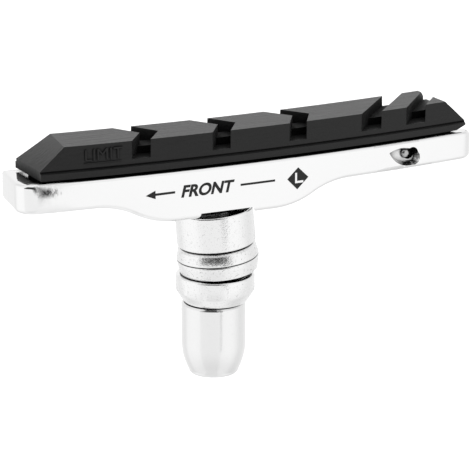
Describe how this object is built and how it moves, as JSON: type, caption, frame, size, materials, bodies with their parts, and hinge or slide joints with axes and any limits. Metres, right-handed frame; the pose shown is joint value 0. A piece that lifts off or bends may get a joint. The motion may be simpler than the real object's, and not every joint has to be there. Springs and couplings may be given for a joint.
{
  "type": "bicycle rim brake pad",
  "caption": "Curved cartridge brake shoe for a linear pull rim brake: grooved rubber insert in a polished aluminium holder, with stud, ball seated washers and a barrel nut.",
  "frame": {"origin": "on the stud's axis, in the plane between the two dome washers where a brake arm is clamped", "axes": "+Z along the stud, out of the braking face; -X to the shoe's front end; +Y to the side that faces the wheel's hub"},
  "size_m": [0.0754, 0.0136, 0.0384],
  "materials": {
    "holder": "polished casting",
    "insert": "matt moulded rubber",
    "retaining_pin": "bright",
    "stud": "zinc plated",
    "washers": "satin zinc plating",
    "barrel_nut": "satin zinc plating"
  },
  "bodies": {
    "root": {"holder": "holder", "insert": "insert", "retaining_pin": "retaining_pin", "stud": "stud", "cup_spacer": "washers", "upper_dome_washer": "washers", "lower_dome_washer": "washers", "cup_washer": "washers", "barrel_nut": "barrel_nut"}
  },
  "joints": []
}
